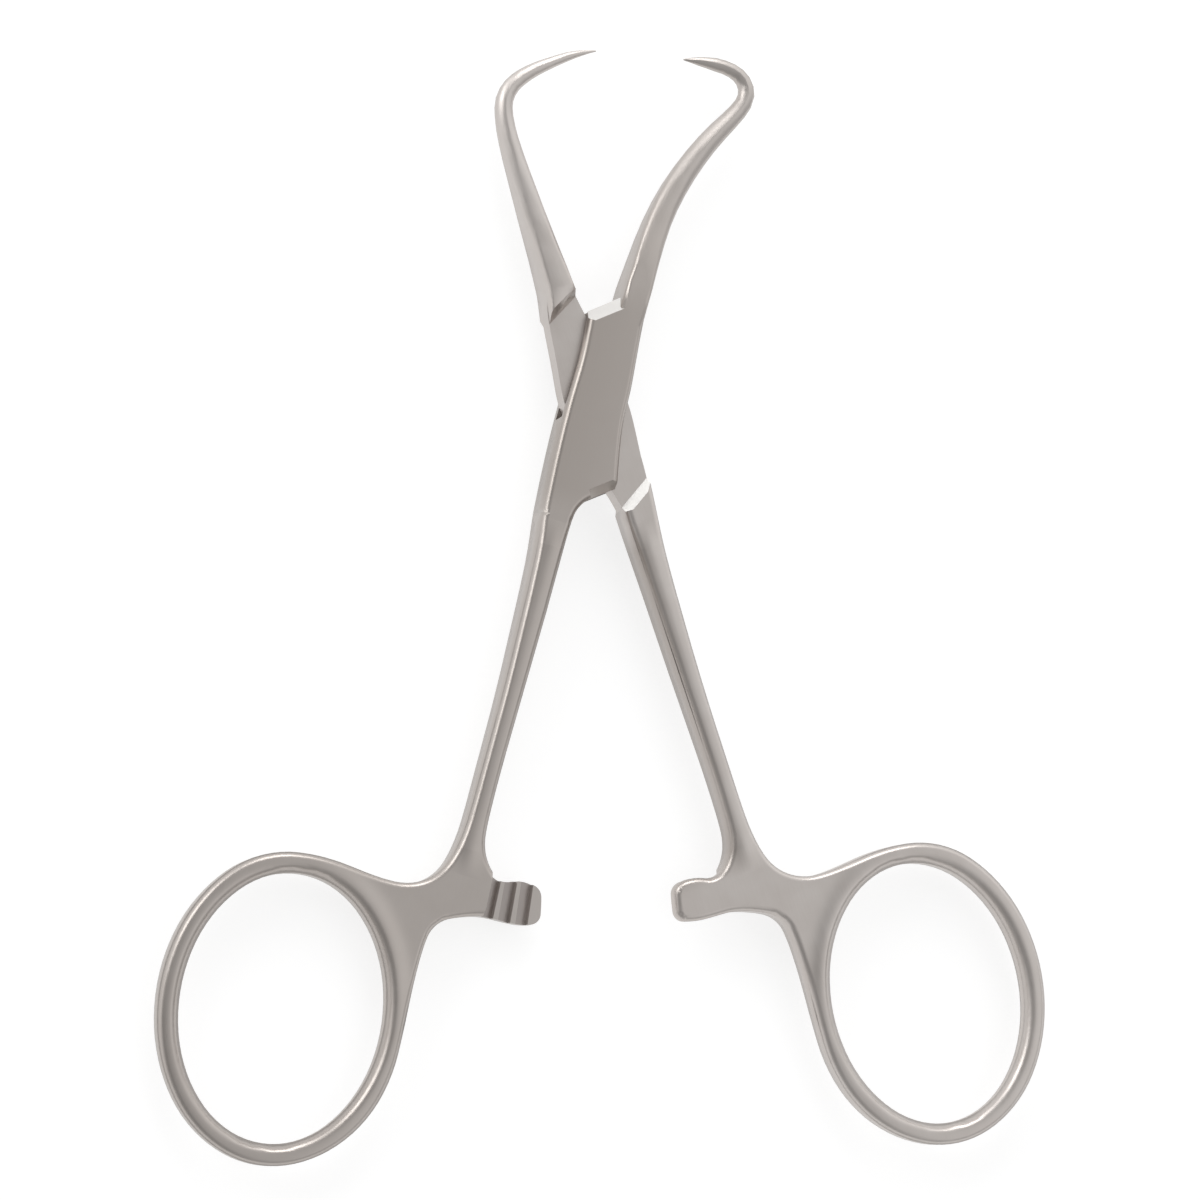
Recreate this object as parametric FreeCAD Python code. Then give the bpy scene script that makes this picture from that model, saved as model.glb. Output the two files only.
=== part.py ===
import FreeCAD, Part
import math
import os

V = FreeCAD.Vector
os.makedirs("parts", exist_ok=True)

# Lock thickness, its two walls and the tongue that runs between them
lock_thickness = 5.2
wall_thickness = 1.45
face_clearance = 0.05
mid_plane = lock_thickness / 2
slot_bottom = wall_thickness
slot_top = lock_thickness - wall_thickness
tongue_bottom = slot_bottom + face_clearance
tongue_top = slot_top - face_clearance

# Rivet through both walls, ground flush, with a running fit in the tongue
pin_radius = 1.6
pin_clearance = 0.05
pin_collar_radius = 2.0
pin_collar_depth = 0.4

# How far each arm is swung out from its own straight shank direction in the photo
box_arm_swing = -14.84
tongue_arm_swing = 18.39

# The shanks thin from the lock down to the bottom of the ring
ring_thickness = 2.6
shank_edge = 0.6

# Ratchet bar, swept about the pivot axis
bar_inner_radius = 46.7
bar_height = 3.95
bar_outer_radius = bar_inner_radius + bar_height
bar_step_angle = 2.45
bar_end_angle = 9.05
bar_crest_gap = 0.07
bar_room = 4.0
tooth_pitch = 1.93
tooth_count = 3
tooth_depth = 0.5
tooth_ramp = 1.08
tooth_rise = 0.12

# Finger ring, a leaning ellipse of even width that hangs beside and below the ratchet bar
ring_hole_minor = 9.75
ring_hole_major = 12.64
ring_wire = 2.02
ring_lean = 6.5
ring_edge = 0.95
ring_side = -2.15
ring_top = 1.36 - bar_outer_radius
ring_centre = (ring_side - ring_hole_minor - ring_wire, ring_top - ring_hole_major - ring_wire)
ring_bottom = ring_centre[1] - ring_hole_major - ring_wire

# Outer edge of the shank, down to the shoulder over the ring
shank_outer_edge = [
    (-2.33, -12.0), (-2.12, -14.0), (-1.74, -21.0), (-1.55, 16.7 - bar_inner_radius),
    (-1.6, 7.2 - bar_inner_radius), (-1.95, ring_top + 4.3), (-3.0, ring_top + 1.5),
    (-5.2, ring_top - 0.15), (-8.6, ring_top - 0.5)]

# From the ring's inner side up into the lower edge of the ratchet bar
bar_root_edge = [
    (-2.6, -4.95 - bar_outer_radius), (-1.9, -1.95 - bar_outer_radius), (0.2, -0.6 - bar_outer_radius)]

# Inner edge of the shank, from the ratchet bar back up to the lock
shank_inner_edge = [
    (1.6, 0.7 - bar_inner_radius), (0.75, 2.1 - bar_inner_radius), (0.3, 5.2 - bar_inner_radius),
    (0.26, 10.7 - bar_inner_radius), (0.4, 17.7 - bar_inner_radius), (0.56, -17.0), (0.64, -12.0)]

# Where each handle ends inside its lock, outer side and inner side
box_handle_end = [(-2.38, -11.0), (0.7, -11.0)]
tongue_handle_end = [(-2.75, -4.0), (0.62, -10.2)]

# Rim of the ratchet bar: radius, and degrees swept past the shank
ratchet_bar_rim = [
    (bar_outer_radius, 2.6), (bar_outer_radius, 5.0), (bar_outer_radius, 7.4),
    (bar_outer_radius - 0.4, bar_end_angle - 0.3), (bar_outer_radius - 2.05, bar_end_angle),
    (bar_inner_radius + 0.5, bar_end_angle - 0.4), (bar_inner_radius, 7.4), (bar_inner_radius, 2.9)]

# Oblique ends of the box and the matching shoulders of the tongue arm:
# distance from the pivot axis at the tongue face and at the outer face, then the normal's direction
box_top_end = (8.25, 7.05, 129.0)
box_bottom_end = (8.55, 7.7, -52.0)
tongue_top_shoulder = (8.1, 8.4, 120.0)
tongue_bottom_shoulder = (8.6, 9.45, -58.0)

# Plan of the box: its left edge runs on into the shank, its right edge up into the jaw
box_left_edge = [
    (-2.95, 9.4), (-2.8, 7.0), (-2.62, 3.5), (-2.7, 0.0), (-2.7, -4.0), (-2.52, -9.0), (-2.35, -12.0)]
box_crotch = [(0.66, -12.0), (0.95, -10.6), (1.75, -9.5)]
box_right_edge = [
    (4.1, -7.65), (3.78, -6.0), (3.3, -3.2), (3.05, -1.0), (3.0, 1.2), (2.75, 5.0), (2.45, 10.5)]
box_top_cap = (-0.3, 11.2)

# Slot walls of the box, each from the lock's end to its waist
slot_wall_top = [(-0.12, 9.6), (2.62, 3.2), (3.6, 1.6)]
slot_wall_bottom = [(0.6, -10.3), (-2.55, -2.4)]

# Plan of the tongue, shank side on the left as the arm is drawn
tongue_left_edge = [
    (-2.2, -12.5), (-2.5, -9.0), (-2.9, -5.0), (-3.15, -1.0), (-2.95, 1.5), (-1.3, 11.0)]
tongue_right_edge = [
    (0.5, -12.5), (0.75, -10.0), (1.6, -7.0), (2.6, -2.5), (2.9, 0.6), (2.65, 3.0), (2.3, 5.5), (1.9, 8.6),
    (1.3, 11.0)]

# Jaw of the box arm: centre line, half width, half thickness and edge rounding
box_jaw = [
    (1.17, 8.0, 1.29, mid_plane, 0.40), (1.22, 12.0, 1.29, mid_plane, 0.40), (1.37, 15.0, 1.23, 2.25, 0.5),
    (1.72, 19.0, 1.22, 1.72, 0.68), (2.50, 22.7, 1.19, 1.45, 0.84), (3.81, 26.45, 1.10, 1.25, 0.94),
    (5.38, 29.75, 1.00, 1.10, 0.91), (6.72, 32.2, 0.88, 1.00, 0.80), (7.16, 34.05, 0.79, 0.95, 0.73),
    (6.50, 35.34, 0.72, 0.88, 0.68), (5.18, 35.98, 0.69, 0.80, 0.65), (3.38, 36.04, 0.66, 0.70, 0.61),
    (1.78, 35.84, 0.44, 0.48, 0.41), (0.20, 35.52, 0.08, 0.09, 0.07)]

# Jaw of the tongue arm, straighter, with its hook turned in
tongue_jaw = [
    (0.2, 8.0, 1.63, mid_plane, 0.32), (0.01, 11.5, 1.32, mid_plane - 0.1, 0.4),
    (-0.01, 15.0, 1.19, 2.15, 0.5), (0.01, 19.0, 1.13, 1.72, 0.66),
    (-0.02, 23.0, 1.04, 1.42, 0.80), (-0.12, 26.6, 0.93, 1.20, 0.84),
    (-0.42, 28.90, 0.86, 1.08, 0.80), (-1.00, 30.50, 0.84, 1.02, 0.78), (-2.15, 31.62, 0.81, 0.96, 0.75),
    (-3.40, 32.16, 0.75, 0.88, 0.69), (-4.94, 32.53, 0.65, 0.76, 0.59), (-6.63, 32.74, 0.54, 0.62, 0.48),
    (-8.39, 32.88, 0.43, 0.48, 0.38), (-10.0, 32.85, 0.26, 0.28, 0.22), (-11.33, 32.67, 0.06, 0.07, 0.05)]


def polar(radius, degrees):
    a = math.radians(degrees)
    return V(radius * math.cos(a), radius * math.sin(a), 0)


def line(a, b):
    return Part.makeLine(V(a[0], a[1], 0), V(b[0], b[1], 0))


def arc_between(start, corner, end):
    # Arc that leaves its start toward the corner and meets its end coming from the corner
    chord_middle = (start + end) * 0.5
    half_chord = (end - start).Length / 2
    rise = (corner - chord_middle).Length
    if rise < 1e-6:
        return Part.makeLine(start, end)
    tangent_length = math.hypot(half_chord, rise)
    bulge = half_chord * rise / (tangent_length + half_chord)
    return Part.Arc(start, chord_middle + (corner - chord_middle) * (bulge / rise), end).toShape()


def arc_pair(start, leaving, end, arriving):
    # Two arcs that touch, from one point and direction to the next
    gap = end - start
    both = leaving + arriving
    spread = 2 * (1 - leaving.dot(arriving))
    along = gap.dot(both)
    if spread < 1e-9:
        reach = gap.dot(gap) / (4 * gap.dot(arriving))
    else:
        reach = (math.sqrt(along * along + spread * gap.dot(gap)) - along) / spread
    first = start + leaving * reach
    second = end - arriving * reach
    joint = (first + second) * 0.5
    return [arc_between(start, first, joint), arc_between(joint, second, end)]


def touching_arcs(places, ways):
    # Two arcs from each place to the next, which leave and reach it in the directions given
    edges = []
    for i in range(len(places) - 1):
        edges += arc_pair(places[i], ways[i], places[i + 1], ways[i + 1])
    return edges


def smooth_run(points):
    # Touching arcs through the points, in the directions of the smooth curve through them
    curve = Part.BSplineCurve()
    places = [V(x, y, 0) for x, y in points]
    curve.interpolate(places)
    return touching_arcs(places, [curve.tangent(curve.parameter(p))[0] for p in places])


def prism(edges, bottom, top):
    face = Part.Face(Part.Wire(Part.sortEdges(edges)[0]))
    face.translate(V(0, 0, bottom))
    return face.extrude(V(0, 0, top - bottom))


def polygon_prism(points, bottom, top):
    edges = [line(points[i - 1], points[i]) for i in range(len(points))]
    return prism(edges, bottom, top)


def oblique_wedge(rows, degrees, start, end):
    # Distance and height rows, drawn across an oblique end and run sideways along it
    out = polar(1, degrees)
    side = V(-out.y, out.x, 0)
    corners = [out * d + side * start + V(0, 0, z) for d, z in rows]
    return Part.Face(Part.makePolygon(corners + [corners[0]])).extrude(side * (end - start))


def mirrored_about_mid_plane(shape):
    return shape.mirror(V(0, 0, mid_plane), V(0, 0, 1))


def with_its_mirror(shape):
    return shape.fuse(mirrored_about_mid_plane(shape))


def leaned(x, y):
    # From the ring's own axes to the arm's
    lean = math.radians(ring_lean)
    return V(x * math.cos(lean) - y * math.sin(lean), x * math.sin(lean) + y * math.cos(lean), 0)


def ring_point(width, degrees):
    # Point on the ellipse that lies that far outside the ring hole
    a = math.radians(degrees)
    across = (ring_hole_minor + width) * math.cos(a)
    up = (ring_hole_major + width) * math.sin(a)
    return V(*ring_centre, 0) + leaned(across, up)


def ring_hole():
    # Touching arcs that follow the ellipse, ten pairs to the turn
    places = [ring_point(0, 36 * i) for i in range(11)]
    ways = []
    for i in range(11):
        a = math.radians(36 * i)
        ways.append(leaned(-ring_hole_minor * math.sin(a), ring_hole_major * math.cos(a)).normalize())
    places[10] = places[0]
    ways[10] = ways[0]
    return touching_arcs(places, ways)


def inside_ring(point):
    # Nearer to the ring hole than the middle of the ring's width
    out = V(point.x - ring_centre[0], point.y - ring_centre[1], 0)
    u = out.dot(leaned(1, 0)) / (ring_hole_minor + ring_wire / 2)
    v = out.dot(leaned(0, 1)) / (ring_hole_major + ring_wire / 2)
    return u * u + v * v < 1


def bar_point(radius, degrees):
    q = polar(radius, degrees - 90)
    return (q.x, q.y)


def handle_outline(ends):
    # Shank, shoulder, ring and ratchet bar in one run, back up to the lock
    ring = [ring_point(ring_wire, 78 + 32 * i) for i in range(10)]
    ring = [(p.x, p.y) for p in ring]
    rim = [bar_point(radius, degrees) for radius, degrees in ratchet_bar_rim]
    return [ends[0]] + shank_outer_edge + ring + bar_root_edge + rim + shank_inner_edge + [ends[1]]


def rounded_slab(edges, bottom):
    # Slab up to the front face, rounded along its curved front edges
    slab = prism(edges, bottom, lock_thickness)
    front = [e for e in slab.Edges if e.CenterOfMass.z > lock_thickness - 0.001]
    return slab.makeChamfer(shank_edge, [e for e in front if isinstance(e.Curve, Part.Circle)])


def handle(ends):
    # Front half leans back from the lock, so that the handle thins evenly; the back is the same
    outline = handle_outline(ends)
    start = ends[0][1]
    slab = rounded_slab(smooth_run(outline) + [line(ends[1], ends[0])], -lock_thickness)
    slab = slab.cut(prism(ring_hole(), -2 * lock_thickness, 2 * lock_thickness))
    front = [e for e in slab.Edges if e.CenterOfMass.z > lock_thickness - 0.001]
    slab = slab.makeChamfer(ring_edge, [e for e in front if inside_ring(e.CenterOfMass)])
    fall = (lock_thickness - ring_thickness) / 2
    lean = math.degrees(math.atan2(fall, start - ring_bottom))
    slab.rotate(V(0, start, lock_thickness), V(1, 0, 0), lean)
    reach = 2 * (ring_hole_minor + ring_wire) + bar_outer_radius
    corner = V(-reach, -1.5 * reach, mid_plane - 2 * lock_thickness)
    below = Part.makeBox(2 * reach, 2 * reach, 2 * lock_thickness, corner)
    return with_its_mirror(slab.cut(below))


def jaw_section(width, height, rounding):
    # Rectangle with rounded corners, each corner in two facets
    w = width - rounding
    h = height - rounding
    c = rounding * math.cos(math.pi / 4)
    quarter = [(width, h), (w + c, h + c), (w, height)]
    points = [V(x, 0, z) for x, z in quarter]
    points += [V(-x, 0, z) for x, z in quarter[::-1]]
    points += [V(-x, 0, -z) for x, z in quarter]
    points += [V(x, 0, -z) for x, z in quarter[::-1]]
    return Part.makePolygon(points + [points[0]])


def jaw(rows):
    # A section at each row and one halfway to the next, square to the centre line
    path = Part.BSplineCurve()
    path.interpolate([V(row[0], row[1], 0) for row in rows])
    places = [path.parameter(V(row[0], row[1], 0)) for row in rows]
    wires = []
    for i in range(2 * len(rows) - 1):
        a = i // 2
        b = (i + 1) // 2
        at = (places[a] + places[b]) / 2
        width, height, rounding = [(rows[a][k] + rows[b][k]) / 2 for k in (2, 3, 4)]
        forward = path.tangent(at)[0]
        section = jaw_section(width, height, rounding)
        section.rotate(V(0, 0, 0), V(0, 0, 1), math.degrees(math.atan2(-forward.x, forward.y)))
        section.translate(path.value(at) + V(0, 0, mid_plane))
        wires.append(section)
    return Part.makeLoft(wires, True, True)


def ratchet_cut():
    # Space in front of the ratchet bar, with the saw teeth let into the bar's front face
    crest = mid_plane - bar_crest_gap
    inner = bar_inner_radius - bar_room
    outer = bar_outer_radius + bar_room
    across = outer * math.sin(math.radians(bar_end_angle)) + bar_room
    clear = Part.makeBox(across, outer - inner, lock_thickness, V(0, -outer, crest))
    clear.rotate(V(0, 0, 0), V(0, 0, 1), bar_step_angle)
    cuts = [clear]
    for i in range(tooth_count):
        rows = [(0, crest + 0.2), (0, crest), (tooth_ramp, crest - tooth_depth)]
        rows += [(tooth_ramp + tooth_rise, crest), (tooth_ramp + tooth_rise, crest + 0.2)]
        corners = [V(x, -inner, z) for x, z in rows]
        notch = Part.Face(Part.makePolygon(corners + [corners[0]])).extrude(V(0, inner - outer, 0))
        notch.rotate(V(0, 0, 0), V(0, 0, 1), bar_step_angle + 0.1 + i * tooth_pitch)
        cuts.append(notch)
    return cuts[0].fuse(cuts[1:])


def rivet():
    pin = Part.makeCylinder(pin_radius, lock_thickness)
    under_collar = V(0, 0, lock_thickness - pin_collar_depth)
    collar = Part.makeCone(pin_radius, pin_collar_radius, pin_collar_depth, under_collar)
    return pin.fuse([collar, mirrored_about_mid_plane(collar)]).removeSplitter()


def box_arm():
    # The lock itself keeps its full thickness
    block = smooth_run(box_left_edge) + smooth_run(box_crotch) + smooth_run(box_right_edge)
    block += [line(box_left_edge[-1], box_crotch[0]), line(box_crotch[-1], box_right_edge[0])]
    block += [line(box_right_edge[-1], box_top_cap), line(box_top_cap, box_left_edge[0])]
    body = with_its_mirror(rounded_slab(block, mid_plane)).fuse(handle(box_handle_end))
    # Oblique top end of the walls, bevelled toward the outer face
    inner, outer, degrees = box_top_end
    rows = [(30, mid_plane), (inner, mid_plane), (inner, slot_top), (outer, lock_thickness)]
    rows += [(outer, 2 * lock_thickness), (30, 2 * lock_thickness)]
    lip = oblique_wedge(rows, degrees, -20, 20)
    body = body.cut(with_its_mirror(lip))
    # Oblique bottom end, bevelled beside the shank only
    inner, outer, degrees = box_bottom_end
    rows = [(inner + 1.5, slot_top), (inner, slot_top), (outer, lock_thickness)]
    rows += [(outer, 2 * lock_thickness), (inner + 1.5, 2 * lock_thickness)]
    lip = oblique_wedge(rows, degrees, -4.3, 6)
    body = body.cut(with_its_mirror(lip))
    body = body.fuse(jaw(box_jaw))
    slot_plan = slot_wall_top[::-1] + [(-0.4, 11.0), (-6, 12), (-6, -2.4)]
    slot_plan += [slot_wall_bottom[1], slot_wall_bottom[0], (0.9, -11.0), (8, -11), (8, 1.6)]
    body = body.cut(polygon_prism(slot_plan, slot_bottom, slot_top))
    body = body.cut(rivet())
    return body.cut(ratchet_cut()).removeSplitter()


def shoulder_cut(shoulder):
    # Everything over and under the tongue, up to an oblique shoulder
    inner, outer, degrees = shoulder
    rows = [(-30, tongue_top), (inner, tongue_top), (outer, lock_thickness)]
    rows += [(outer, 2 * lock_thickness), (-30, 2 * lock_thickness)]
    return with_its_mirror(oblique_wedge(rows, 180 - degrees, -20, 20))


def tongue_arm():
    body = handle(tongue_handle_end)
    body = body.cut(shoulder_cut(tongue_bottom_shoulder))
    head = jaw(tongue_jaw).cut(shoulder_cut(tongue_top_shoulder))
    plan = smooth_run(tongue_left_edge) + smooth_run(tongue_right_edge)
    plan.append(line(tongue_left_edge[0], tongue_right_edge[0]))
    plan.append(line(tongue_left_edge[-1], tongue_right_edge[-1]))
    tongue = prism(plan, tongue_bottom, tongue_top)
    body = body.fuse([tongue, head])
    body = body.cut(Part.makeCylinder(pin_radius + pin_clearance, lock_thickness))
    return body.cut(mirrored_about_mid_plane(ratchet_cut())).removeSplitter()


box = box_arm()
box.rotate(V(0, 0, 0), V(0, 0, 1), box_arm_swing)
box.exportStep("parts/box_arm.step")

tongue = tongue_arm().mirror(V(0, 0, 0), V(1, 0, 0))
tongue.rotate(V(0, 0, 0), V(0, 0, 1), tongue_arm_swing)
tongue.exportStep("parts/tongue_arm.step")

rivet().exportStep("parts/pivot_pin.step")
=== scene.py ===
import bmesh
import bpy
from math import copysign, cos, degrees, hypot, radians, sin
from mathutils import Matrix, Vector


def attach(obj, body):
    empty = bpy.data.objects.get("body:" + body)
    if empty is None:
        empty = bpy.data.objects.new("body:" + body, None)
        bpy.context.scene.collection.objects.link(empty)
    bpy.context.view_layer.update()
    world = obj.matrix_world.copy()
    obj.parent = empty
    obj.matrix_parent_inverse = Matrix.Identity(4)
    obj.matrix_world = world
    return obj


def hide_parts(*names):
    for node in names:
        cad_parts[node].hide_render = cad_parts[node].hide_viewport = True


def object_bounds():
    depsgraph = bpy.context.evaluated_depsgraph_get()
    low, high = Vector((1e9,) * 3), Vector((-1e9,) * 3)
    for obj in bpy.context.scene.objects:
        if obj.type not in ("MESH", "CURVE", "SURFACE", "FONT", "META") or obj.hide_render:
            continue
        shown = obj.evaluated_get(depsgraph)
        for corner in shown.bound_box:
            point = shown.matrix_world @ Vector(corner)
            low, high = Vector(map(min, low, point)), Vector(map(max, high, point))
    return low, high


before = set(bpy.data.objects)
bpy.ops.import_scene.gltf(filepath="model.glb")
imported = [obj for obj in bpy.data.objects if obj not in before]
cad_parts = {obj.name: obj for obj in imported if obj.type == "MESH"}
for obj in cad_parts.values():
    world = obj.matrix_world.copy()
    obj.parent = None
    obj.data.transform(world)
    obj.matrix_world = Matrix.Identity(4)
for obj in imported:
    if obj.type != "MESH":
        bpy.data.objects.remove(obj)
cad_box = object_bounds()


# Box arm: one stainless forging with the box of the lock, the right jaw and the left shank, ring
# and ratchet bar. It is forged, ground to its flat faces and bevels, then glass-bead satined,
# with the jaw rubbed brighter on a polishing mop, and it carries painted highlight and painted shade.

class Shade:
    """A value that changes over the steel, taken from one node socket."""

    def __init__(self, tree, socket):
        self.tree = tree
        self.socket = socket

    def worked(self, operation, first, second=0.0, clamp=False):
        node = self.tree.nodes.new("ShaderNodeMath")
        node.operation = operation
        node.use_clamp = clamp
        for slot, value in zip(node.inputs, (first, second)):
            if isinstance(value, Shade):
                self.tree.links.new(value.socket, slot)
            else:
                slot.default_value = value
        return Shade(self.tree, node.outputs[0])

    def worked_alone(self, operation):
        return self.worked(operation, self)

    def beside(self, output):
        return Shade(self.tree, self.socket.node.outputs[output])

    def __add__(self, other):
        return self.worked("ADD", self, other)

    def __radd__(self, other):
        return self.worked("ADD", other, self)

    def __sub__(self, other):
        return self.worked("SUBTRACT", self, other)

    def __rsub__(self, other):
        return self.worked("SUBTRACT", other, self)

    def __mul__(self, other):
        return self.worked("MULTIPLY", self, other)

    def __truediv__(self, other):
        return self.worked("DIVIDE", self, other)

    def __abs__(self):
        return self.worked("ABSOLUTE", self)

    def held(self):
        # The same value, kept between 0 and 1
        return self.worked("ADD", self, 0.0, clamp=True)


class Finish:
    """The finish of one forging: its material, and the nodes that vary it over the surface."""

    def __init__(self, name):
        self.material = bpy.data.materials.new(name)
        self.material.use_nodes = True
        self.tree = self.material.node_tree
        self.shader = self.tree.nodes["Principled BSDF"]
        self.shader.inputs["Metallic"].default_value = 1.0
        self.place = self.node("ShaderNodeTexCoord", out="Object")

    def node(self, kind, settings=None, sockets=None, out=0):
        made = self.tree.nodes.new(kind)
        for key, value in (settings or {}).items():
            setattr(made, key, value)
        for key, value in (sockets or {}).items():
            self.feed(made.inputs[key], value)
        return Shade(self.tree, made.outputs[out])

    def feed(self, socket, value):
        if isinstance(value, Shade):
            self.tree.links.new(value.socket, socket)
        else:
            socket.default_value = value

    def noise(self, place, scale, detail=2.0, rough=0.5):
        return self.node("ShaderNodeTexNoise", {}, {"Vector": place, "Scale": scale,
                                                    "Detail": detail, "Roughness": rough})

    def blend(self, factor, first, second):
        # The Mix node's colour sockets are told apart by their places, since they share names
        return self.node("ShaderNodeMix", {"data_type": "RGBA"},
                         {0: factor, 6: first, 7: second}, out=2)


# Steel colours: its satin, a darker grey also used as painted shade, painted highlight, painted shade
satin_mid = (0.62, 0.575, 0.545, 1.0)
satin_deep = (0.52, 0.475, 0.445, 1.0)
satin_pale = (0.70, 0.665, 0.64, 1.0)
grey_and_shade_paint = (0.44, 0.40, 0.37, 1.0)
painted_light_colour = (0.88, 0.87, 0.85, 1.0)
painted_dark_colour = (0.40, 0.365, 0.35, 1.0)

# Places on an arm, in metres: along it from the rivet, and across it from its middle line
mid_plane = 0.0026
lock_reach = 0.0125
shank_foot = 0.0475
jaw_root = 0.016
ring_across = 0.01392
ring_down = 0.06395
ring_lean = radians(6.5)
ring_half_width = 0.01076
ring_half_length = 0.01365
ring_radius = 0.0122
ring_crown_width, ring_crown_height = 0.001, 0.00027
shank_crown_across = 0.00062
shank_crown_width, shank_crown_height = 0.0011, 0.00026


def squared(value):
    return value * value


def ridge(offset, width):
    # Soft crown across a band of that half width, 1 along its middle
    return (squared(offset / width) * -1.0).worked_alone("EXPONENT")


def satin_steel(name, swing, side, shade_on_lock, paleness):
    """Satin steel of one arm. Side is -1 for the arm the other way round; the lock switch is 1 to
    paint shade on the lock, 0 to paint it along the shank's inner side; a paleness of 0 is as dark as
    the lock."""
    finish = Finish(name)
    # Laid along the shank, so that the grain of the last polishing runs with it
    along = finish.node("ShaderNodeMapping", {"vector_type": "POINT"},
                        {"Vector": finish.place, "Rotation": (0.0, 0.0, -swing)})
    grain_place = finish.node("ShaderNodeMapping", {"vector_type": "POINT"},
                              {"Vector": along, "Scale": (1.0, 0.06, 1.0)})
    cloud = finish.noise(finish.place, 130.0, 3.0, 0.55)
    patch = finish.noise(finish.place, 420.0, 2.0)
    grain = finish.noise(grain_place, 5200.0, 2.0)
    bead = finish.noise(finish.place, 9000.0, 1.0)
    height = finish.node("ShaderNodeSeparateXYZ", {}, {"Vector": along}, out="Y")
    across = height.beside("X") * side
    painted_highlight = finish.node("ShaderNodeAttribute", {"attribute_name": "painted_highlight"}, out="Fac")
    painted_shade = finish.node("ShaderNodeAttribute", {"attribute_name": "painted_shade"}, out="Fac")
    tone = (0.5 + (cloud - 0.5) * 1.1 + (patch - 0.5) * 0.7 + (grain - 0.5) * 0.4).held()
    metal = finish.blend(tone, satin_deep, satin_pale)
    metal = finish.blend(0.4, metal, satin_mid)
    metal = finish.blend(1.0 - paleness, metal, grey_and_shade_paint)
    # Painted shade: the lock's faces are darkened, most of all beside their left edge
    lock_shade_paint = ((lock_reach - abs(height)) * 300.0).held() * shade_on_lock
    metal = finish.blend((lock_shade_paint * (1.0 - (across + 0.0027) * 110.0)).held(), metal, grey_and_shade_paint)
    # Painted shade along the inner side of the tongue arm's shank
    shank = ((height + shank_foot) * 400.0).held() * ((-lock_reach - height) * 400.0).held()
    inner_shade_paint = ((across + 0.0006) * 900.0).held() * shank * ((1.0 - shade_on_lock) * 0.9)
    metal = finish.blend(inner_shade_paint, metal, grey_and_shade_paint)
    # The jaws were rubbed on a mop after the satining, so they are paler toward their points
    jaw = ((height - jaw_root) * 70.0).held()
    metal = finish.blend(jaw * 0.3, metal, satin_pale)
    # Painted highlight and painted shade, laid in from two face attributes
    metal = finish.blend((painted_highlight * 0.8).held(), metal, painted_light_colour)
    metal = finish.blend((painted_shade * 0.85).held(), metal, painted_dark_colour)
    finish.feed(finish.shader.inputs["Base Color"], metal)
    rough = 0.35 + jaw * 0.06 + (cloud - 0.5) * 0.14 + (grain - 0.5) * 0.10
    rough = rough - painted_highlight * 0.05 + painted_shade * 0.1
    finish.feed(finish.shader.inputs["Roughness"], rough.held())
    # Hand grinding leaves the shank and the ring gently crowned
    out, up = across + ring_across, height + ring_down
    wide = (out * cos(ring_lean) + up * sin(ring_lean)) / ring_half_width
    long = (up * cos(ring_lean) - out * sin(ring_lean)) / ring_half_length
    ring_reach = (squared(wide) + squared(long)).worked_alone("SQRT")
    crown = ridge((ring_reach - 1.0) * ring_radius, ring_crown_width) * ring_crown_height
    spine = ridge(across + shank_crown_across, shank_crown_width)
    crown = crown + spine * shank * shank_crown_height
    shaped = finish.node("ShaderNodeBump", {}, {"Strength": 1.0, "Distance": 1.0, "Height": crown})
    # Fine relief of the glass beads and of the last brushing
    bump = finish.node("ShaderNodeBump", {}, {"Strength": 0.2, "Distance": 0.00002,
                                              "Height": bead * 0.6 + grain * 0.5, "Normal": shaped})
    finish.feed(finish.shader.inputs["Normal"], bump)
    return finish.material


def face_kind(face):
    # A bevel faces halfway between the front and the side, a wall faces sideways
    up = abs(face.normal.z)
    if 0.655 < up < 0.76:
        return "bevel"
    return "wall" if up < 0.06 else "other"


# How the box's far end faces, and how far from the rivet the slopes and the ratchet lie
box_end_facing = Vector((-0.485, 0.599, 0.638))
slopes_near, slopes_far = 0.0075, 0.0115
ratchet_near, ratchet_far = 0.0455, 0.052
tongue_front = 0.0037


def ground_ends(face, turned, painted_highlight, painted_shade):
    """Gives one face its painted highlight and painted shade, from where it is and how it faces."""
    middle = turned @ face.calc_center_median()
    facing = turned @ face.normal
    up = abs(facing.z)
    reach = hypot(middle.x, middle.y)
    # Painted highlight on the oblique end of the box beyond the rivet and on the slopes below it
    if box_end_facing.dot(Vector((facing.x, facing.y, up))) > 0.98 and middle.y > 0.006:
        face[painted_highlight] = 1.0
    if 0.45 < up < 0.52 and slopes_near < reach < slopes_far and middle.y < 0.0:
        face[painted_highlight] = 1.0 if face.normal.y > 0.3 else 0.25
    # Painted shade on the box's left side over the slot, beside the tongue
    above_tongue = middle.x < -0.0024 and middle.z > tongue_front
    if up < 0.3 and above_tongue and -0.001 < middle.y < 0.0095:
        face[painted_shade] = 0.7
    # Painted shade on the ratchet's ramps, and a little painted highlight on its steep faces and
    # flats
    on_bar = 0.001 < abs(middle.x) < 0.009 and middle.y < -0.04
    if on_bar and ratchet_near < reach < ratchet_far:
        if 0.85 < up < 0.93:
            face[painted_shade] = 0.9
        if 0.15 < up < 0.3:
            face[painted_highlight] = 0.35
        if up > 0.99 and abs(middle.z - mid_plane) < 0.0004:
            face[painted_highlight] = 0.1


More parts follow.
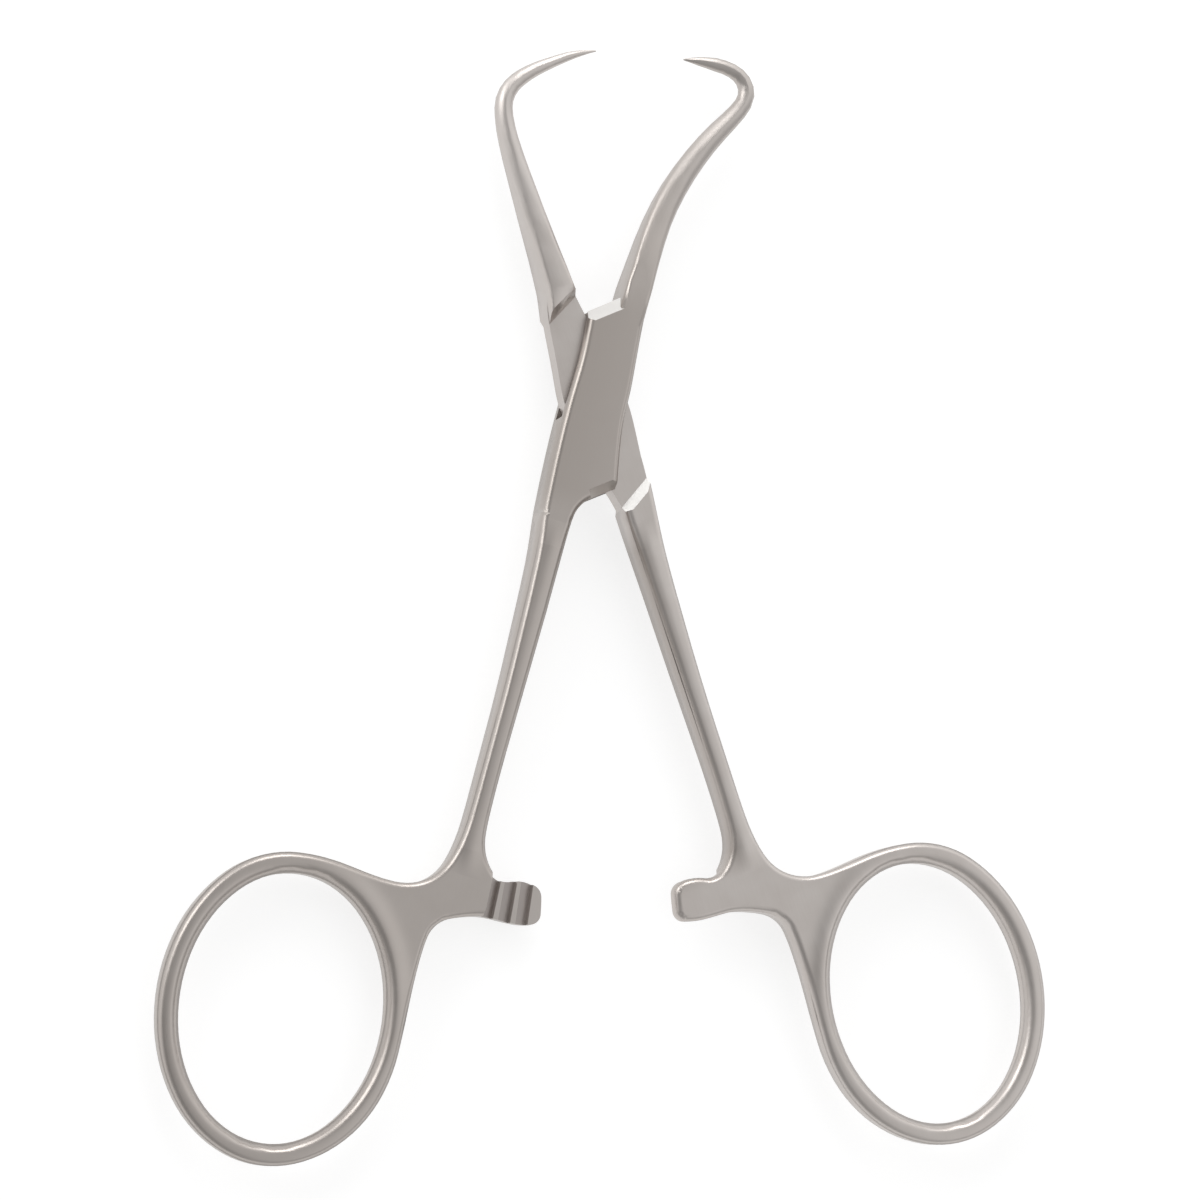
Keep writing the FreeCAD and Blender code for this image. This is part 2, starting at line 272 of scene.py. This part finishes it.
def fan_normal(faces, free, painted_highlight):
    """Shared direction of faces that meet at a corner; free is true on the round jaws."""
    if free:
        return sum((face.normal * face.calc_area() ** 0.25 for face in faces), Vector())
    # Ground flats keep their own direction, and the bevels and walls beside them turn round
    flats = [face.normal for face in faces if abs(face.normal.z) > 0.95]
    if flats:
        return sum(flats, Vector())
    # The oblique ends of the lock are hollow ground, so they throw back light from higher up
    hollow = max(face[painted_highlight] for face in faces)
    mean = sum((face.normal for face in faces), Vector()) / len(faces)
    if hollow > 0.85 and abs(mean.z) < 0.55:
        return mean + Vector((0.0, 0.0, 0.9 if mean.z > 0.0 else -0.9))
    upright = sum((face.normal for face in faces if abs(face.normal.z) < 0.3), Vector())
    sloping = sum((face.normal for face in faces if abs(face.normal.z) >= 0.3), Vector())
    return upright.normalized() + sloping.normalized()


def corner_normals(steel, is_free, painted_highlight):
    """One normal for each face corner, shared by the corners that no sharp edge parts."""
    normals = {}
    for vert in steel.verts:
        left = list(vert.link_faces)
        while left:
            fan = [left.pop(0)]
            for face in fan:
                for edge in face.edges:
                    if edge.smooth and vert in edge.verts:
                        joined = [other for other in edge.link_faces if other in left]
                        left = [other for other in left if other not in joined]
                        fan.extend(joined)
            normal = fan_normal(fan, is_free(vert), painted_highlight).normalized()
            for face in fan:
                normals[face.index, vert.index] = normal
    return [normals[face.index, loop.vert.index] for face in steel.faces for loop in face.loops]


def edge_limit(edge, past_lock):
    # The bend in degrees up to which an edge was blended away by hand
    kinds = {face_kind(face) for face in edge.link_faces}
    if past_lock:
        return 60
    if "bevel" in kinds:
        return 55
    return 35 if kinds == {"wall"} else 14


def ground_steel(node, swing, jaw_start, rub_down=None):
    """Merged copy of a forging, with its bevels shaded round and its ground edges kept crisp."""
    turned = Matrix.Rotation(-swing, 3, "Z")
    steel = bmesh.new()
    steel.from_mesh(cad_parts[node].data)
    bmesh.ops.remove_doubles(steel, verts=steel.verts, dist=2.5e-5)
    # The hair-thin ledge where a handle runs into the lock is blended away
    ledge = [vert for vert in steel.verts if abs((turned @ vert.co).y + 0.012) < 1e-5]
    bmesh.ops.remove_doubles(steel, verts=ledge, dist=7e-5)
    bmesh.ops.dissolve_limit(steel, angle_limit=radians(0.4), verts=steel.verts, edges=steel.edges)
    steel.normal_update()
    if rub_down:
        rub_down(steel, turned)
    # Face attributes that hold the painted highlight and the painted shade
    painted_highlight = steel.faces.layers.float.new("painted_highlight")
    painted_shade = steel.faces.layers.float.new("painted_shade")
    steel.normal_update()
    for face in steel.faces:
        face.smooth = True
        ground_ends(face, turned, painted_highlight, painted_shade)
    for edge in steel.edges:
        if len(edge.link_faces) != 2:
            edge.smooth = False
            continue
        middle = turned @ ((edge.verts[0].co + edge.verts[1].co) / 2)
        blended = degrees(edge.calc_face_angle()) < edge_limit(edge, middle.y > jaw_start)
        first, second = edge.link_faces
        edge.smooth = blended and first[painted_highlight] == second[painted_highlight]
    for elements in (steel.verts, steel.edges, steel.faces):
        elements.index_update()
    normals = corner_normals(steel, lambda vert: (turned @ vert.co).y > jaw_start, painted_highlight)
    shape = bpy.data.meshes.new(node + "_forging")
    steel.to_mesh(shape)
    steel.free()
    shape.normals_split_custom_set(normals)
    piece = bpy.data.objects.new(node + "_forging", shape)
    bpy.context.scene.collection.objects.link(piece)
    return piece


# On the lock's right bevel, the way across and the depth from the middle add up to this
lock_bevel_sum = 0.004535


def rub_box_steps(steel, turned):
    # The jaw's round edge starts flush with the bevel on the right side of the lock
    for vert in steel.verts:
        place = turned @ vert.co
        depth = place.z - mid_plane
        spare = (place.x + abs(depth) - lock_bevel_sum) / 2
        if place.x > 0.0019 and 0.0080 < place.y < 0.00802 and spare > 0.0:
            place.x -= spare
            place.z -= copysign(spare, depth)
            vert.co = turned.transposed() @ place
    # The sliver across the end of the lock is closed up
    corner = [vert for vert in steel.verts
              if (turned @ vert.co).x < -0.0028 and 0.0081 < (turned @ vert.co).y < 0.0083]
    bmesh.ops.remove_doubles(steel, verts=corner, dist=7e-5)


box_swing = radians(-14.84)
box_jaw_start = 0.0125
box_finish = satin_steel("box_arm_satin", box_swing, side=1.0, shade_on_lock=1.0, paleness=0.36)
box_forging = ground_steel("box_arm", box_swing, box_jaw_start, rub_box_steps)
box_forging.data.materials.append(box_finish)
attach(box_forging, "box_side")
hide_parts("box_arm")


# Tongue arm: the other forging, whose thin tongue passes through the box. It carries the left
# jaw above the lock and the right shank, ring and ratchet bar below it, in the same satin.

# Half the tongue's thickness, how far the shoulder leans back for its height, and the way up the
# jaw, square to the foot of its shoulder
tongue_half_depth = 0.0011
shoulder_slope = 0.34
way_up_jaw = Vector((-0.5, 0.866, 0.0))


def draw_out_jaw_side(steel, turned):
    # The jaw's left side comes out nearly flush with the side of the tongue below it
    for vert in steel.verts:
        place = turned @ vert.co
        beside_jaw = -0.0018 < place.x < -0.0011 and 0.0083 < place.y < 0.0099
        off_tongue = abs(place.z - mid_plane) > tongue_half_depth - 0.00001
        tongue_side = (place.y - 0.008086) * 0.2156 - 0.001983
        if beside_jaw and off_tongue and place.x > tongue_side + 0.00005:
            place.x -= min(0.00012, (0.0109 - place.y) * 0.065)
            vert.co = turned.transposed() @ place


def lay_back_shoulder(steel, turned):
    # The jaw's shoulder over the tongue is ground back to a slope, along the jaw's own edges
    for face in steel.faces:
        facing = turned @ face.normal
        middle = turned @ face.calc_center_median()
        if facing.y > -0.8 or facing.x < 0.4 or middle.y < 0.0085:
            continue
        corners = list(face.verts)
        for vert in corners:
            place = turned @ vert.co
            neighbours = [edge.other_vert(vert) for edge in vert.link_edges]
            beyond = [turned @ other.co for other in neighbours if other not in corners]
            setback = (abs(place.z - mid_plane) - tongue_half_depth) * shoulder_slope
            if setback > 0.0002 and beyond:
                onward = max(beyond, key=lambda other: other.y) - place
                place += onward * (setback / onward.dot(way_up_jaw))
                vert.co = turned.transposed() @ place


def rub_shoulder(steel, turned):
    draw_out_jaw_side(steel, turned)
    lay_back_shoulder(steel, turned)


tongue_swing = radians(18.39)
tongue_jaw_start = 0.0105
tongue_finish = satin_steel("tongue_arm_satin", tongue_swing, side=-1.0, shade_on_lock=0.0, paleness=0.85)
tongue_forging = ground_steel("tongue_arm", tongue_swing, tongue_jaw_start, rub_shoulder)
tongue_forging.data.materials.append(tongue_finish)
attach(tongue_forging, "tongue_side")
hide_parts("tongue_arm")


# Pivot rivet: a short steel pin through both walls of the box, with its heads ground flush, so
# that only a hair line shows where it ends in the face.

no_jaw = 1.0
pin_finish = satin_steel("pin_satin", box_swing, side=1.0, shade_on_lock=1.0, paleness=0.36)
pin_rivet = ground_steel("pivot_pin", box_swing, no_jaw)
pin_rivet.data.materials.append(pin_finish)
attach(pin_rivet, "box_side")
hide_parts("pivot_pin")


# Floor: a plain white sheet that the clamp lies on. The camera sees it nearly white, the steel
# sees it paler grey, and it keeps the clamp's soft shadow.

floor_mesh = bpy.data.meshes.new("floor")
sheet = bmesh.new()
bmesh.ops.create_grid(sheet, x_segments=1, y_segments=1, size=3.0)
sheet.to_mesh(floor_mesh)
sheet.free()
floor = bpy.data.objects.new("floor", floor_mesh)
bpy.context.scene.collection.objects.link(floor)
floor.location.z = cad_box[0][2] - 0.0001
paper = bpy.data.materials.new("floor_paper")
paper.use_nodes = True
tree = paper.node_tree
tree.nodes.remove(tree.nodes["Principled BSDF"])
path = tree.nodes.new("ShaderNodeLightPath")
matt = tree.nodes.new("ShaderNodeBsdfDiffuse")
matt.inputs["Color"].default_value = (0.8, 0.8, 0.8, 1.0)


def seen_by(ray, under, grey, strength):
    # The same sheet as one kind of ray sees it, partly lit and partly glowing
    lit = tree.nodes.new("ShaderNodeBsdfDiffuse")
    lit.inputs["Color"].default_value = (grey, grey, grey, 1.0)
    glow = tree.nodes.new("ShaderNodeEmission")
    glow.inputs["Strength"].default_value = strength
    both = tree.nodes.new("ShaderNodeAddShader")
    pick = tree.nodes.new("ShaderNodeMixShader")
    tree.links.new(lit.outputs[0], both.inputs[0])
    tree.links.new(glow.outputs[0], both.inputs[1])
    tree.links.new(path.outputs[ray], pick.inputs[0])
    tree.links.new(under.outputs[0], pick.inputs[1])
    tree.links.new(both.outputs[0], pick.inputs[2])
    return pick


glossy = seen_by("Is Glossy Ray", matt, 0.25, 0.78)
camera_view = seen_by("Is Camera Ray", glossy, 0.4, 0.74)
tree.links.new(camera_view.outputs[0], tree.nodes["Material Output"].inputs["Surface"])
floor_mesh.materials.append(paper)


# Light: a pale studio that is bright beyond the jaws and on the far left, and darker on the near
# side, with soft lamps up on the left and past the jaws, so that the bevels facing them catch it.

studio = bpy.data.worlds.new("studio")
bpy.context.scene.world = studio
studio.use_nodes = True
air = studio.node_tree
sky = air.nodes["Background"]


def direction_fade(axis, low, dark, high, bright):
    # Brightness that changes with how far a ray points along an axis
    toward = air.nodes.new("ShaderNodeTexCoord")
    along = air.nodes.new("ShaderNodeVectorMath")
    along.operation = "DOT_PRODUCT"
    along.inputs[1].default_value = axis
    fade = air.nodes.new("ShaderNodeMapRange")
    fade.interpolation_type = "SMOOTHSTEP"
    fade.inputs["From Min"].default_value = low
    fade.inputs["From Max"].default_value = high
    fade.inputs["To Min"].default_value = dark
    fade.inputs["To Max"].default_value = bright
    air.links.new(toward.outputs["Generated"], along.inputs[0])
    air.links.new(along.outputs["Value"], fade.inputs["Value"])
    return fade.outputs[0]


walls = direction_fade((-0.15, 0.99, 0.0), -0.3, 0.45, 0.4, 1.2)
ceiling = direction_fade((1.0, 0.0, 0.0), -0.55, 0.34, 0.75, 0.92)
overhead = direction_fade((0.0, 0.0, 1.0), 0.25, 0.0, 0.6, 1.0)
join = air.nodes.new("ShaderNodeMix")
join.data_type = "FLOAT"
air.links.new(overhead, join.inputs[0])
air.links.new(walls, join.inputs[2])
air.links.new(ceiling, join.inputs[3])
air.links.new(join.outputs[0], sky.inputs["Color"])
white = air.nodes.new("ShaderNodeBackground")
white.inputs["Color"].default_value = (1.0, 1.0, 1.0, 1.0)
rays = air.nodes.new("ShaderNodeLightPath")
choice = air.nodes.new("ShaderNodeMixShader")
air.links.new(rays.outputs["Is Camera Ray"], choice.inputs[0])
air.links.new(sky.outputs[0], choice.inputs[1])
air.links.new(white.outputs[0], choice.inputs[2])
air.links.new(choice.outputs[0], air.nodes["World Output"].inputs["Surface"])


def lamp(name, place, aim, size, power):
    light = bpy.data.lights.new(name, "AREA")
    light.shape = "DISK"
    light.size = size
    light.energy = power
    stand = bpy.data.objects.new(name, light)
    bpy.context.scene.collection.objects.link(stand)
    stand.location = place
    stand.rotation_euler = (Vector(aim) - Vector(place)).to_track_quat("-Z", "Y").to_euler()


lamp("left_lamp", (-0.48, 0.34, 0.30), (0.0, -0.02, 0.0), 0.40, 0.9)
lamp("far_lamp", (0.02, 0.60, 0.30), (0.0, -0.02, 0.0), 0.40, 1.1)


# Camera: a long lens a little to the left of the clamp and below its middle, as in the photo.

eye = bpy.data.cameras.new("photo_camera")
eye.lens = 141.06
eye.sensor_width = 36.0
eye.clip_start = 0.01
eye.clip_end = 20.0
camera = bpy.data.objects.new("photo_camera", eye)
bpy.context.scene.collection.objects.link(camera)
camera_place = Vector((-0.11495, -0.07210, 0.4342))
camera_aim = Vector((0.000846, -0.019045, 0.0026))
back = (camera_place - camera_aim).normalized()
right = Vector((cos(radians(15.02)), 0.0, sin(radians(15.02))))
turn = Matrix((right, back.cross(right), back)).transposed().to_4x4()
camera.matrix_world = Matrix.Translation(camera_place) @ turn
bpy.context.scene.camera = camera
bpy.context.scene.view_settings.view_transform = "Standard"
